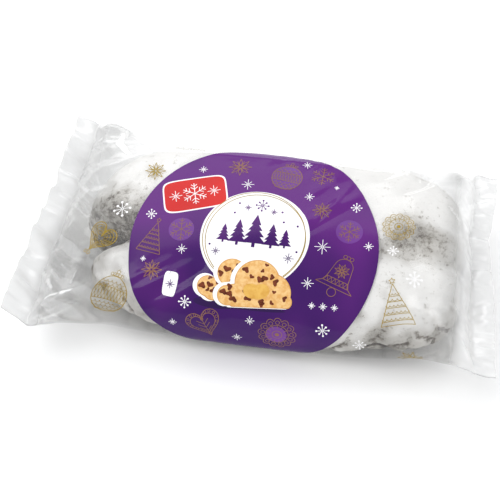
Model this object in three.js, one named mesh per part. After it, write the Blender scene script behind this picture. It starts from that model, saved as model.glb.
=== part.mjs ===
// A stollen sealed in a clear film bag: one pillow-shaped solid, in millimetres, +Z up.
// X runs along the bag from one crimped end seal to the other. -Y is the loaf's low front lobe,
// +Y its high back, and the flat base rests on Z = 0 under the origin.
import * as THREE from "three";

// Film tube and its end seals
const BAG_LENGTH = 300; // between the outer edges of the two seals
const SEAL_WIDTH = 180; // the tube lying flat, across a seal
const SEAL_BAND = 15; // crimped band at each end, measured along X
const SEAL_THICKNESS = 1.6;

// Filled middle of the bag
const BODY_WIDTH = 144;
const BODY_HEIGHT = 77.5;
const BODY_HALF_LENGTH = 86; // the middle stretch, before the ends close down
const BODY_TAPER = 0.03; // how much narrower and lower that stretch is at its two ends
const CREASE_HEIGHT = 26; // where the upper and lower sheets of film turn into each other
const CREST_SHIFT = 36; // the loaf's ridge lies this far behind the middle
const CREST_FADE = 0.7; // below 1, the ridge keeps its place longer towards the seals
const BASE_FLATTENING = 0.9; // how far the film's underside is pressed flat by the weight

// Roundness of a section: 2 is an ellipse, less is flatter and more is squarer
const TOP_ROUNDNESS = [1.8, 1.2]; // in front of the ridge and behind it
const BASE_ROUNDNESS = 3.75;
const SEAL_ROUNDNESS = 2;
const END_ROUNDNESS = 1.72; // side view of the ends, from the seal up to the full height

// Each end: its direction, the heights of the seal's inner and outer edges, the lengths over which
// the film flares out to the seal and the lift of the ears, as [front, back] pairs. drawnIn is how
// far the edge is pulled in between its corners, and phase sets the run of its wrinkles.
const ENDS = [
  {
    side: -1,
    inner: [31, 41.5],
    outer: [45, 52],
    flare: [47, 76],
    earLift: [0, 4.7],
    drawnIn: 1,
    phase: 0.4,
  },
  {
    side: 1,
    inner: [32, 38.5],
    outer: [34, 35.5],
    flare: [44, 44],
    earLift: [5, -9.5],
    drawnIn: 5,
    phase: 2.1,
  },
];
const DRAWN_IN_AT = 22; // Y of the deepest point of a drawn-in edge
const DRAWN_IN_SPREAD = 38;

// Flutes that the hot jaws press across a seal
const FLUTE_PITCH = 12.5;
const FLUTE_DEPTH = 1.1;
const FLUTE_DRIFT = 0.22; // how far a flute strays, as a share of the pitch
const FLUTE_DRIFT_LENGTH = 60;
const FLUTE_UNEVENNESS = 0.35;
const FLUTE_UNEVEN_LENGTH = 132;
const FLUTE_FADE = 4; // they fade out over the first quarter of the end

// Puckers where the wide flat tube is gathered round the narrower loaf
const PUCKER_PITCH = 29;
const PUCKER_DEPTH = 2.6;
const PUCKER_WANDER = 2.2; // radians
const PUCKER_WANDER_LENGTH = 207;
const PUCKER_TURN_BELOW = 1.7; // radians, so the lower sheet has puckers of its own

// The folded ear at each corner
const EAR_SPREAD = 17;
const EAR_INSET = 9; // from the corner of the tube to the middle of the fold

// Facets
const RING_POINTS = 116; // round a section, an even number
const BODY_STEPS = 10;
const END_STEPS = 9;
const END_CROWDING = 1.5; // above 1, rings stand closer together towards the seal
const SEAL_STEPS = 2;

const SEAL_START = BAG_LENGTH / 2 - SEAL_BAND;
const END_LENGTH = SEAL_START - BODY_HALF_LENGTH;
const FRONT = 0;
const BACK = 1;

const { lerp, clamp, smoothstep } = THREE.MathUtils;
const smooth = (t) => smoothstep(t, 0, 1);
const power = (value, exponent) => Math.sign(value) * Math.abs(value) ** exponent;
const hill = (distance, spread) => Math.exp(-((distance / spread) ** 2));
const wave = (distance, length, phase = 0) => Math.sin((2 * Math.PI * distance) / length + phase);

// What the bag measures at one place along its length.
function measuresAt(x) {
  const end = ENDS[x < 0 ? 0 : 1];
  const reach = Math.abs(x);
  const fullness = clamp((SEAL_START - reach) / END_LENGTH, 0, 1);
  const alongSeal = clamp((reach - SEAL_START) / SEAL_BAND, 0, 1);
  const taper = 1 - BODY_TAPER * Math.min(reach / BODY_HALF_LENGTH, 1) ** 2;
  const flareAt = (length) => smooth(1 - clamp((SEAL_START - reach) / length, 0, 1));
  return {
    end,
    fullness,
    filled: smooth(fullness),
    rise: (1 - (1 - fullness) ** END_ROUNDNESS) ** (1 / END_ROUNDNESS),
    halfWidth: (BODY_WIDTH / 2) * taper,
    height: BODY_HEIGHT * taper,
    flare: end.flare.map(flareAt),
    sealHeight: end.inner.map((inner, side) => lerp(inner, end.outer[side], alongSeal)),
  };
}

// One cross-section of the film: from the front crease over the top to the back crease,
// and back underneath.
class FilmSection extends THREE.Curve {
  constructor(x) {
    super();
    this.x = x;
    this.measures = measuresAt(x);
  }

  getPoint(t, target = new THREE.Vector3()) {
    const m = this.measures;
    const across = -Math.cos(2 * Math.PI * t);
    const up = Math.sin(2 * Math.PI * t);
    const topRoundness = TOP_ROUNDNESS[across < 0 ? FRONT : BACK];
    const roundness = lerp(SEAL_ROUNDNESS, up < 0 ? BASE_ROUNDNESS : topRoundness, m.filled);
    const share = power(across, 2 / roundness);
    const towardsBack = (share + 1) / 2;
    const flare = lerp(m.flare[FRONT], m.flare[BACK], smooth(towardsBack));
    const halfWidth = lerp(m.halfWidth, SEAL_WIDTH / 2, flare);
    const ridge = CREST_SHIFT * m.fullness ** CREST_FADE * Math.max(up, 0) * (1 - share ** 2);
    const sealHeight = lerp(m.sealHeight[FRONT], m.sealHeight[BACK], towardsBack);
    const crease = lerp(sealHeight, CREASE_HEIGHT, m.filled);
    const above = (m.height - CREASE_HEIGHT) * m.rise;
    const below = (Math.min(CREASE_HEIGHT, crease) + BASE_FLATTENING) * m.rise;
    const reach = Math.max(up < 0 ? below : above, SEAL_THICKNESS / 2);
    return target.set(this.x, share * halfWidth + ridge, crease + reach * power(up, 2 / roundness));
  }
}

// Flutes run along X, fading out just inside the seal.
function flute(y, m) {
  const drift = FLUTE_DRIFT * wave(y, FLUTE_DRIFT_LENGTH, m.end.phase);
  const swell = FLUTE_UNEVENNESS * wave(y, FLUTE_UNEVEN_LENGTH, 3 * m.end.phase);
  const strength = 1 - FLUTE_UNEVENNESS + swell;
  const fade = 1 - smooth(m.fullness * FLUTE_FADE);
  return FLUTE_DEPTH * strength * fade * wave(y + drift * FLUTE_PITCH, FLUTE_PITCH);
}

// Puckers are deepest a third of the way from the seal to the full section.
function pucker(y, m, upper) {
  const turn = m.end.phase + (upper ? 0 : PUCKER_TURN_BELOW);
  const wander = PUCKER_WANDER * wave(y, PUCKER_WANDER_LENGTH, turn);
  const gathered = (27 / 4) * m.fullness * (1 - m.fullness) ** 2;
  return PUCKER_DEPTH * gathered * Math.cos((2 * Math.PI * y) / PUCKER_PITCH + wander);
}

// Ears lift or droop at the corners.
function ear(x, y, m) {
  const lift = m.end.earLift[y < 0 ? FRONT : BACK];
  const fromFold = SEAL_START - EAR_INSET - Math.abs(x);
  const fromCorner = SEAL_WIDTH / 2 - EAR_INSET - Math.abs(y);
  return lift * hill(fromFold, EAR_SPREAD) * hill(fromCorner, EAR_SPREAD);
}

// A ring of points, evenly spaced round the section, with the film's relief.
function ringAt(x) {
  const section = new FilmSection(x);
  const m = section.measures;
  section.arcLengthDivisions = 4 * RING_POINTS;
  const points = section.getSpacedPoints(RING_POINTS).slice(0, RING_POINTS);
  points.forEach((p, i) => {
    const upper = i > 0 && i < RING_POINTS / 2;
    const drawnIn = m.end.drawnIn * hill(p.y - DRAWN_IN_AT, DRAWN_IN_SPREAD);
    const relief = flute(p.y, m) + pucker(p.y, m, upper) + ear(x, p.y, m);
    p.x -= m.end.side * drawnIn * (1 - smooth(2 * m.fullness));
    p.z = Math.max(p.z + relief, 0);
  });
  return points;
}

// The places along X where the bag gets a ring.
function stations() {
  const right = [];
  for (let i = END_STEPS - 1; i >= 0; i--) {
    right.push(SEAL_START - END_LENGTH * (i / END_STEPS) ** END_CROWDING);
  }
  for (let i = 1; i <= SEAL_STEPS; i++) {
    right.push(SEAL_START + (SEAL_BAND * i) / SEAL_STEPS);
  }
  const left = right.map((x) => -x).reverse();
  const body = [];
  for (let i = 0; i <= BODY_STEPS; i++) {
    body.push(BODY_HALF_LENGTH * ((2 * i) / BODY_STEPS - 1));
  }
  return [...left, ...body, ...right];
}

// The closed solid: rings joined into a tube, with each seal's cut edge as a narrow cap.
function pillowGeometry() {
  const rings = stations().map(ringAt);
  const last = rings.length - 1;
  const half = RING_POINTS / 2;
  const index = [];
  const at = (ring, i) => ring * RING_POINTS + (i % RING_POINTS);
  for (let ring = 0; ring < last; ring++) {
    for (let i = 0; i < RING_POINTS; i++) {
      index.push(at(ring, i), at(ring + 1, i), at(ring + 1, i + 1));
      index.push(at(ring, i), at(ring + 1, i + 1), at(ring, i + 1));
    }
  }
  for (let i = 0; i < half; i++) {
    const corners = [i, i + 1, RING_POINTS - i - 1, RING_POINTS - i];
    const [a, b, c, d] = corners.map((corner) => at(0, corner));
    const [e, f, g, h] = corners.map((corner) => at(last, corner));
    if (i < half - 1) index.push(b, c, i > 0 ? d : a, g, f, i > 0 ? h : e);
    if (i > 0) index.push(a, b, d, f, e, h);
  }
  const geometry = new THREE.BufferGeometry().setFromPoints(rings.flat());
  geometry.setIndex(index);
  geometry.computeVertexNormals();
  return geometry;
}

const filmOverSugar = new THREE.MeshStandardMaterial({
  color: 0xe9e7e6,
  roughness: 0.3,
  metalness: 0,
});

const bag = new THREE.Mesh(pillowGeometry(), filmOverSugar);
bag.name = "stollen_bag";

const stollen = new THREE.Group();
stollen.add(bag);

export default stollen;
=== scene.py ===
import math
import random

import bmesh
import bpy
import numpy as np
from mathutils import Matrix, Vector, noise
from mathutils.bvhtree import BVHTree


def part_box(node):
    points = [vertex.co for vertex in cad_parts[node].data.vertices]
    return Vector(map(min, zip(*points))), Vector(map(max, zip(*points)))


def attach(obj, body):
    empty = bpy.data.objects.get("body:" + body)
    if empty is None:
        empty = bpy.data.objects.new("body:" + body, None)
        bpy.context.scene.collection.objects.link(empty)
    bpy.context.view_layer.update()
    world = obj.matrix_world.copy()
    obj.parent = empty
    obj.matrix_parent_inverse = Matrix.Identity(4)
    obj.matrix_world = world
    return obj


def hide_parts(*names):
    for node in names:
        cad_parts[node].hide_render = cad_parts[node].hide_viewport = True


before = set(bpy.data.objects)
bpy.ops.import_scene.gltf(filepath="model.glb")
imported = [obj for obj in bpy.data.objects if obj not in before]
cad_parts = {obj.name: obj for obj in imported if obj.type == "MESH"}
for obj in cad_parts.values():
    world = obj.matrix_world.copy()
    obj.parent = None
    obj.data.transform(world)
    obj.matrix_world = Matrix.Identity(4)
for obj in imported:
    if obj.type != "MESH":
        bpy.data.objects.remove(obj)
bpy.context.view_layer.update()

# Driving sizes in millimetres: the bag's box comes from the frame, the rest from the part's source
MM = 0.001
bag_low, bag_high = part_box("stollen_bag")
BAG_LENGTH, SEAL_WIDTH, BODY_HEIGHT = (bag_high - bag_low) / MM
SEAL_BAND = 15.0
SEAL_THICKNESS = 0.3
BODY_WIDTH = 144.0
BODY_HALF_LENGTH = 86.0
BODY_TAPER = 0.03
CREASE_HEIGHT = 26.0
CREST_SHIFT = 36.0
CREST_FADE = 0.7
BASE_FLATTENING = 0.9
TOP_ROUNDNESS = (1.8, 1.2)
BASE_ROUNDNESS = 3.75
SEAL_ROUNDNESS = 2.0
END_ROUNDNESS = 1.72
SEAL_START = BAG_LENGTH / 2 - SEAL_BAND
END_LENGTH = SEAL_START - BODY_HALF_LENGTH

# The two ends, each with [front, back] pairs
ENDS = [
    dict(side=-1, inner=(31, 41.5), outer=(45, 52), flare=(47, 76), ear=(0, 4.7), drawn_in=1, phase=0.4),
    dict(side=1, inner=(32, 38.5), outer=(34, 35.5), flare=(44, 44), ear=(5, -9.5), drawn_in=5, phase=2.1),
]
DRAWN_IN_AT = 22.0
DRAWN_IN_SPREAD = 38.0
EAR_SPREAD = 17.0
EAR_INSET = 9.0
PUCKER_PITCH = 29.0
PUCKER_DEPTH = 1.2
PUCKER_PEAK = 27 / 4  # makes the deepest gathering, a third of the way in from the seal, 1
PUCKER_WANDER = 2.2
PUCKER_WANDER_RUN = 33.0
PUCKER_TURN_BELOW = 1.7

# The film's own grid, and how finely its form is measured
FILM_STEPS = 128
FILM_ROUND = 136
FILM_GIRTH = 368.0
FILM_REST = 0.15
SECTION_SAMPLES = 1201
LENGTH_SAMPLES = 301
TUBE_WELD = 1e-6

# The film settling as cloth: how much enlarged, how long, how far it may move, and how stiff it is
SIM_SCALE = 10.0
SIM_FRAMES = 28
SIM_CAP_MIDDLE = 1.2
SIM_CAP_END = 3.5
SIM_CAP_SPAN = (55.0, 50.0)  # from and over
LOAF_CLEARANCE = 0.005
FILM_CLEARANCE = 0.008
FILM_CLOTH = dict(
    quality=6, mass=0.25, air_damping=3.0,
    tension_stiffness=60, compression_stiffness=60, shear_stiffness=30, bending_stiffness=3.0,
    tension_damping=10, compression_damping=10, shear_damping=10,
    use_pressure=True, uniform_pressure_force=0.8,
)

# Creases in the film: where they start and end on it, height, width, and how milky they turn; the milky
# white is partly stress-whitening and partly painted highlight along the fold
CREASES = [
    ((-72, 20), (-34, 46), 1.1, 3.2, 0.0),
    ((-63, 15), (-25, 44), -0.9, 2.8, 0.0),
    ((24, 76), (67, 110), 1.0, 3.2, 0.0),
    ((27, 100), (49, 122), 0.8, 4.0, 0.0),
    ((-27, 8), (50, 17), 0.6, 3.8, 0.0),
    ((30, 72), (57, 95), -0.5, 1.8, 0.0),
    ((31, 76), (49, 101), 0.6, 1.8, 0.0),
    ((36, 85), (54, 113), 0.6, 2.0, 0.0),
    ((22, 79), (34, 93), 0.5, 1.8, 0.0),
    ((-76, 28), (-50, 46), 0.7, 2.4, 0.0),
    ((-63, 12), (-38, 26), 0.6, 2.4, 0.0),
    ((-14, 13), (10, 10), 0.5, 2.4, 0.0),
    # These creases turn white: partly stress-whitening, partly painted highlights along the folds
    ((-115, 143), (-141, 164), 0.4, 3.2, 0.75),
    ((-115, 143), (-96, 117), 0.5, 5.0, 0.85),
    ((-115, 143), (-118, 168), 0.5, 5.0, 0.85),
    ((-90, 132), (-85, 122), 0.3, 2.0, 0.6),
    ((-138, 32), (-155, 54), 0.3, 2.6, 0.6),
    ((-139, 33), (-129, 22), 0.3, 2.6, 0.7),
    ((-124, 19), (-143, 19), 0.4, 2.4, 0.7),
    ((-124, 19), (-112, 22), 0.4, 2.8, 0.75),
    ((-119, 25), (-113, 40), 0.2, 1.6, 0.5),
    ((116, 112), (131, 106), 0.3, 2.2, 0.55),
    ((131, 106), (136, 58), 0.3, 1.6, 0.5),
    ((130, 13), (148, 6), 0.4, 2.0, 0.55),
]
CREASE_TIP = 0.12  # share of a milky crease's width that is left at its far end
CREASE_CRISPNESS = 1.5
CREASE_FADE = 2.5
CREASE_LEAD = 0.6
UNDERSIDE_FROM = 0.75  # share of the way round, past which places count back from the front crease

# Fine crinkles all over the film, stronger towards its ends
CRINKLE_LENGTH = 30.0
CRINKLE_MIDDLE = 0.03
CRINKLE_END = 0.16
CRINKLE_SPAN = (70.0, 45.0)  # from and over
CRINKLE_FINE = 0.35
CRINKLE_FINENESS = 2.3
CRINKLE_SHARPNESS = 3

# How milky the film is: taut over the loaf, loose at the left and right end, pressed together in the seals.
# The loose haze is lower and greyer at the left end and higher and whiter at the right, painted shade and
# painted light on real haze
TAUT_HAZE = 0.05
LOOSE_HAZE_AND_SHADE = (0.4, 0.56)
LOOSE_FROM = (96.0, 106.0)
LOOSE_OVER = (28.0, 24.0)
SEAL_HAZE = 0.55
SEAL_HAZE_LEAD = 8.0
SEAL_HAZE_OVER = 14.0

# Crumples that run across a seal, as widths with their depths, and its wandering cut edge
CRUMPLES = [(13.0, 3.4), (5.5, 2.2), (3.0, 0.8)]
CRUMPLE_LENGTH = 13.0
CRUMPLE_FADE = 12.0
EDGE_WANDER = 1.6
EDGE_LENGTH = 16.0
EDGE_SEED = 5.0


def smooth(t):
    t = np.clip(t, 0.0, 1.0)
    return t * t * (3 - 2 * t)


def mix(a, b, t):
    return a + (b - a) * t


def hill(distance, spread):
    return np.exp(-((distance / spread) ** 2))


def past(value, start, over):
    """0 until a value reaches the start, rising to 1 over a length beyond it."""
    return smooth((value - start) / over)


# Film form

def end_at(x):
    """The end that a place lies in, its distance from the middle, and how full the bag is there."""
    end = ENDS[0] if x < 0 else ENDS[1]
    reach = abs(x)
    return end, reach, float(np.clip((SEAL_START - reach) / END_LENGTH, 0, 1))


def film_section(x, count):
    """Y and Z of the bag's plain section at a place, evenly spaced from the front crease over the top."""
    end, reach, fullness = end_at(x)
    filled = smooth(fullness)
    along_seal = np.clip((reach - SEAL_START) / SEAL_BAND, 0, 1)
    taper = 1 - BODY_TAPER * min(reach / BODY_HALF_LENGTH, 1) ** 2
    rise = (1 - (1 - fullness) ** END_ROUNDNESS) ** (1 / END_ROUNDNESS)
    flare_front, flare_back = [smooth(1 - (SEAL_START - reach) / length) for length in end["flare"]]
    seal_front, seal_back = [mix(i, o, along_seal) for i, o in zip(end["inner"], end["outer"])]

    turn = np.linspace(0, 2 * np.pi, SECTION_SAMPLES)
    across, up = -np.cos(turn), np.sin(turn)
    top_roundness = np.where(across < 0, *TOP_ROUNDNESS)
    roundness = mix(SEAL_ROUNDNESS, np.where(up < 0, BASE_ROUNDNESS, top_roundness), filled)
    share = np.sign(across) * np.abs(across) ** (2 / roundness)
    towards_back = (share + 1) / 2
    flare = mix(flare_front, flare_back, smooth(towards_back))
    half_width = mix(BODY_WIDTH / 2 * taper, SEAL_WIDTH / 2, flare)
    ridge = CREST_SHIFT * fullness ** CREST_FADE * np.maximum(up, 0) * (1 - share ** 2)
    crease = mix(mix(seal_front, seal_back, towards_back), CREASE_HEIGHT, filled)
    above = (BODY_HEIGHT * taper - CREASE_HEIGHT) * rise
    below = (np.minimum(CREASE_HEIGHT, crease) + BASE_FLATTENING) * rise
    height = np.maximum(np.where(up < 0, below, above), SEAL_THICKNESS / 2)
    y = share * half_width + ridge
    z = crease + height * np.sign(up) * np.abs(up) ** (2 / roundness)

    lengths = np.concatenate([[0], np.cumsum(np.hypot(np.diff(y), np.diff(z)))])
    places = np.linspace(0, lengths[-1], count, endpoint=False)
    return np.interp(places, lengths, y), np.interp(places, lengths, z)


def film_ring(x, count):
    """A section of the film with its puckers, its lifted or drooping ears and its drawn-in edge."""
    end, reach, fullness = end_at(x)
    y, z = film_section(x, count)
    own_turn = np.where(np.arange(count) < count / 2, 0, PUCKER_TURN_BELOW)
    wander = PUCKER_WANDER * np.sin(y / PUCKER_WANDER_RUN + end["phase"] + own_turn)
    gathered = PUCKER_PEAK * fullness * (1 - fullness) ** 2
    z = z + PUCKER_DEPTH * gathered * np.cos(2 * np.pi * y / PUCKER_PITCH + wander)
    lift = np.where(y < 0, *end["ear"])
    from_fold = hill(SEAL_START - EAR_INSET - reach, EAR_SPREAD)
    z = z + lift * from_fold * hill(SEAL_WIDTH / 2 - EAR_INSET - np.abs(y), EAR_SPREAD)
    drawn_in = end["drawn_in"] * hill(y - DRAWN_IN_AT, DRAWN_IN_SPREAD) * (1 - smooth(2 * fullness))
    return np.stack([x - end["side"] * drawn_in, y, np.maximum(z, FILM_REST)], axis=-1)


def film_lengths():
    """Places along X and the mean length of film up to them, counted from the middle."""
    places = np.linspace(-BAG_LENGTH / 2, BAG_LENGTH / 2, LENGTH_SAMPLES)
    rings = np.stack([film_ring(x, FILM_ROUND) for x in places])
    steps = np.linalg.norm(np.diff(rings, axis=0), axis=2).mean(axis=1)
    lengths = np.concatenate([[0], np.cumsum(steps)])
    return places, lengths - np.interp(0, places, lengths)


def posed_film():
    """The film as the part has it, on an even grid along and round the tube."""
    places, lengths = film_lengths()
    along = np.linspace(lengths[0], lengths[-1], FILM_STEPS + 1)
    stations = np.interp(along, lengths, places)
    return along, stations, np.stack([film_ring(x, FILM_ROUND) for x in stations])


def tube_object(name, points):
    """A tube through a grid of points, given as [along, round]."""
    rows, columns = points.shape[:2]
    bm = bmesh.new()
    bm.loops.layers.uv.new("UVMap")
    row_layer = bm.verts.layers.int.new("row")
    column_layer = bm.verts.layers.int.new("column")
    bmesh.ops.create_grid(bm, x_segments=rows - 1, y_segments=columns, size=0.5, calc_uvs=True)
    for v in bm.verts:
        row = round((v.co.x + 0.5) * (rows - 1))
        column = round((v.co.y + 0.5) * columns) % columns
        v[row_layer] = row
        v[column_layer] = column
        v.co = points[row, column]
    bmesh.ops.remove_doubles(bm, verts=bm.verts, dist=TUBE_WELD)
    for edge in bm.edges:
        edge.smooth = {v[row_layer] for v in edge.verts} not in ({0}, {rows - 1})
    return to_object(name, bm)


def to_object(name, bm):
    mesh = bpy.data.meshes.new(name)
    bm.to_mesh(mesh)
    bm.free()
    made = bpy.data.objects.new(name, mesh)
    bpy.context.scene.collection.objects.link(made)
    mesh.polygons.foreach_set("use_smooth", [True] * len(mesh.polygons))
    return made


def grid_cells(mesh):
    """The row and column of each vertex of a tube."""
    cells = []
    for name in ("row", "column"):
        values = np.zeros(len(mesh.vertices), int)
        mesh.attributes[name].data.foreach_get("value", values)
        cells.append(values)
    return cells


def vertex_places(mesh):
    values = np.zeros(3 * len(mesh.vertices))
    mesh.vertices.foreach_get("co", values)
    return values.reshape(-1, 3)


def unfilled_tube(along, shape):
    """The tube before it holds anything: round, and with the film's own lengths."""
    radius = FILM_GIRTH / (2 * np.pi)
    turn = 2 * np.pi * np.arange(FILM_ROUND) / FILM_ROUND
    circle = np.stack([-np.cos(turn) * radius, np.sin(turn) * radius + CREASE_HEIGHT], axis=-1)
    return np.concatenate([
        np.broadcast_to(along[:, None, None], (*shape, 1)),
        np.broadcast_to(circle[None], (*shape, 2)),
    ], axis=2)


def add_collider(loaf):
    """An enlarged copy of the loaf, for the film to lie on."""
    collider = loaf.copy()
    collider.data = loaf.data.copy()
    collider.data.transform(Matrix.Scale(SIM_SCALE, 4))
    bpy.context.scene.collection.objects.link(collider)
    collider.modifiers.new("Collision", "COLLISION")
    collider.collision.thickness_outer = LOAF_CLEARANCE
    return collider


def add_cloth(film, rest_key, held):
    cloth = film.modifiers.new("Cloth", "CLOTH")
    cloth.settings.rest_shape_key = rest_key
    cloth.settings.vertex_group_mass = held
    for name, value in FILM_CLOTH.items():
        setattr(cloth.settings, name, value)
    cloth.settings.effector_weights.gravity = 0.0
    cloth.collision_settings.distance_min = FILM_CLEARANCE
    cloth.collision_settings.use_self_collision = False
    cloth.point_cache.frame_end = SIM_FRAMES


def settle_film(along, stations, posed, loaf):
    """Lets the film settle: the tube's own lengths make it wrinkle where it is gathered."""
    scale = MM * SIM_SCALE
    film = tube_object("film_cloth", posed * scale)
    rows, columns = grid_cells(film.data)
    rest = unfilled_tube(along, posed.shape[:2])
    film.shape_key_add(name="Basis")
    rest_key = film.shape_key_add(name="Rest")
    rest_key.data.foreach_set("co", (rest[rows, columns] * scale).ravel())
    sealed = np.flatnonzero(np.abs(stations[rows]) > SEAL_START)
    film.vertex_groups.new(name="seals").add(sealed.tolist(), 1.0, "REPLACE")
    collider = add_collider(loaf)
    add_cloth(film, rest_key, "seals")
    scene = bpy.context.scene
    for step in range(1, SIM_FRAMES + 1):
        scene.frame_set(step)
    settled = film.evaluated_get(bpy.context.evaluated_depsgraph_get())
    result = posed.copy()
    result[rows, columns] = vertex_places(settled.data) / scale
    scene.frame_set(1)
    for used in (film, collider):
        bpy.data.objects.remove(used)

    moved = result - posed
    distance = np.linalg.norm(moved, axis=2, keepdims=True)
    cap = mix(SIM_CAP_MIDDLE, SIM_CAP_END, past(np.abs(stations), *SIM_CAP_SPAN))[:, None, None]
    result = posed + moved * np.minimum(1, cap / np.maximum(distance, 1e-9))
    result[:, :, 2] = np.maximum(result[:, :, 2], FILM_REST)
    return result


def finer(points):
    """Twice as many rows and columns, by cubic midpoints; the columns run round."""
    before, after, beyond = (np.roll(points, shift, axis=1) for shift in (1, -1, -2))
    halfway = (9 * (points + after) - before - beyond) / 16
    rounded = np.stack([points, halfway], axis=2).reshape(points.shape[0], -1, 3)
    first = 2 * rounded[:1] - rounded[1:2]
    last = 2 * rounded[-1:] - rounded[-2:-1]
    padded = np.concatenate([first, rounded, last])
    between = (9 * (padded[1:-2] + padded[2:-1]) - padded[:-3] - padded[3:]) / 16
    result = np.empty((2 * rounded.shape[0] - 1, *rounded.shape[1:]))
    result[0::2] = rounded
    result[1::2] = between
    return result


def surface_normals(points):
    lengthways = np.gradient(points, axis=0)
    sideways = np.roll(points, -1, axis=1) - np.roll(points, 1, axis=1)
    normals = np.cross(lengthways, sideways)
    return normals / np.maximum(np.linalg.norm(normals, axis=2, keepdims=True), 1e-12)


def crease_relief(along, columns):
    """How far the creases lift the film, and how white they turn it, partly stress-whitening and partly
    painted highlight.
    """
    round_ = np.arange(columns) / columns * FILM_GIRTH
    round_ = np.where(round_ > UNDERSIDE_FROM * FILM_GIRTH, round_ - FILM_GIRTH, round_)
    u, v = np.meshgrid(along, round_, indexing="ij")
    lift = np.zeros(u.shape)
    whitened_and_highlit = np.zeros(u.shape)
    for start, end, height, width, haze_and_painted_light in CREASES:
        start, run = np.array(start), np.subtract(end, start)
        share = ((u - start[0]) * run[0] + (v - start[1]) * run[1]) / (run @ run)
        away = np.hypot(u - start[0] - share * run[0], v - start[1] - share * run[1])
        if haze_and_painted_light:
            tapered = width * mix(1.0, CREASE_TIP, np.clip(share, 0, 1))
            across = smooth(CREASE_CRISPNESS * (1 - away / tapered))
        else:
            across = hill(away, width)
        ridge = across * smooth(CREASE_FADE * share + CREASE_LEAD) * smooth(CREASE_FADE * (1 - share))
        lift += height * ridge
        whitened_and_highlit = np.maximum(whitened_and_highlit, haze_and_painted_light * ridge)
    return lift, whitened_and_highlit


def crinkle(points):
    """Sharp-ridged crinkles of thin stiff film, from 0 to about 1."""
    values = []
    for place in points.reshape(-1, 3) / CRINKLE_LENGTH:
        waves = noise.noise(place) + CRINKLE_FINE * noise.noise(CRINKLE_FINENESS * Vector(place))
        values.append(1 - abs(waves))
    return np.array(values).reshape(points.shape[:2]) ** CRINKLE_SHARPNESS


def crumple_seals(stations, points):
    """Crumples the seals, lets their cut edges wander, and brings their two sheets together there."""
    strength = smooth((np.abs(stations) - SEAL_START + CRUMPLE_FADE) / CRUMPLE_FADE)
    for row in np.flatnonzero(strength):
        for point in points[row]:
            for width, depth in CRUMPLES:
                place = Vector((point[0] / CRUMPLE_LENGTH, point[1] / width, width))
                point[2] += strength[row] * depth * noise.noise(place)
            edge = Vector((math.copysign(EDGE_SEED, point[0]), point[1] / EDGE_LENGTH, 0))
            point[0] += strength[row] * EDGE_WANDER * noise.noise(edge)
    points[:, :, 2] = np.maximum(points[:, :, 2], FILM_REST)
    for row in (0, -1):
        mirrored = np.roll(points[row, ::-1], 1, axis=0)
        points[row] = (points[row] + mirrored) / 2


def crease_film(along, stations, points):
    """Adds relief that the settling is too coarse for, and gives how white its sharp folds turn, partly as
    painted highlight.
    """
    lift, whitened_and_highlit = crease_relief(along, points.shape[1])
    loose = past(np.abs(stations), *CRINKLE_SPAN)[:, None]
    lift += (CRINKLE_MIDDLE + loose * CRINKLE_END) * crinkle(points)
    points += surface_normals(points) * lift[:, :, None]
    crumple_seals(stations, points)
    return whitened_and_highlit


class Film:
    """The film's surface: a place in millimetres from a length along it and a length round it."""

    def __init__(self, along, points):
        self.along = along
        self.points = points
        self.normals = surface_normals(points)

    def at(self, along, round_, lift):
        rows, columns = self.points.shape[:2]
        i = np.interp(along, self.along, np.arange(rows))
        j = (round_ / FILM_GIRTH % 1) * columns
        i0 = np.minimum(i.astype(int), rows - 2)
        j0 = j.astype(int) % columns
        j1 = (j0 + 1) % columns
        a, b = (i - i0)[:, None], (j - np.floor(j))[:, None]
        blended = []
        for grid in (self.points, self.normals):
            front = mix(grid[i0, j0], grid[i0 + 1, j0], a)
            back = mix(grid[i0, j1], grid[i0 + 1, j1], a)
            blended.append(mix(front, back, b))
        return blended[0] + blended[1] * lift[:, None]


# Colour and material helpers

def rgb(text):
    """An sRGB hex value as linear colour."""
    parts = [int(text[i:i + 2], 16) / 255 for i in (1, 3, 5)]
    return (*[c / 12.92 if c <= 0.04045 else ((c + 0.055) / 1.055) ** 2.4 for c in parts], 1.0)


def repeat(size):
    """The scale of a pattern whose features are this many millimetres across."""
    return 1 / (size * MM)


def add(tree, kind, sockets=None, **settings):
    """Adds a node with its settings; a socket's value is a constant or another node's output."""
    made = tree.nodes.new(kind)
    for name, value in settings.items():
        setattr(made, name, value)
    for name, value in (sockets or {}).items():
        if isinstance(value, bpy.types.NodeSocket):
            tree.links.new(value, made.inputs[name])
        else:
            made.inputs[name].default_value = value
    return made


def set_ramp(node, *stops):
    """Gives a colour ramp its stops, each a position and a hex colour."""
    elements = node.color_ramp.elements
    while len(elements) < len(stops):
        elements.new(0.5)
    for element, (position, colour) in zip(elements, stops):
        element.position = position
        element.color = rgb(colour)


def new_material(name):
    material = bpy.data.materials.new(name)
    material.use_nodes = True
    tree = material.node_tree
    tree.nodes.clear()
    return material, tree


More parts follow.
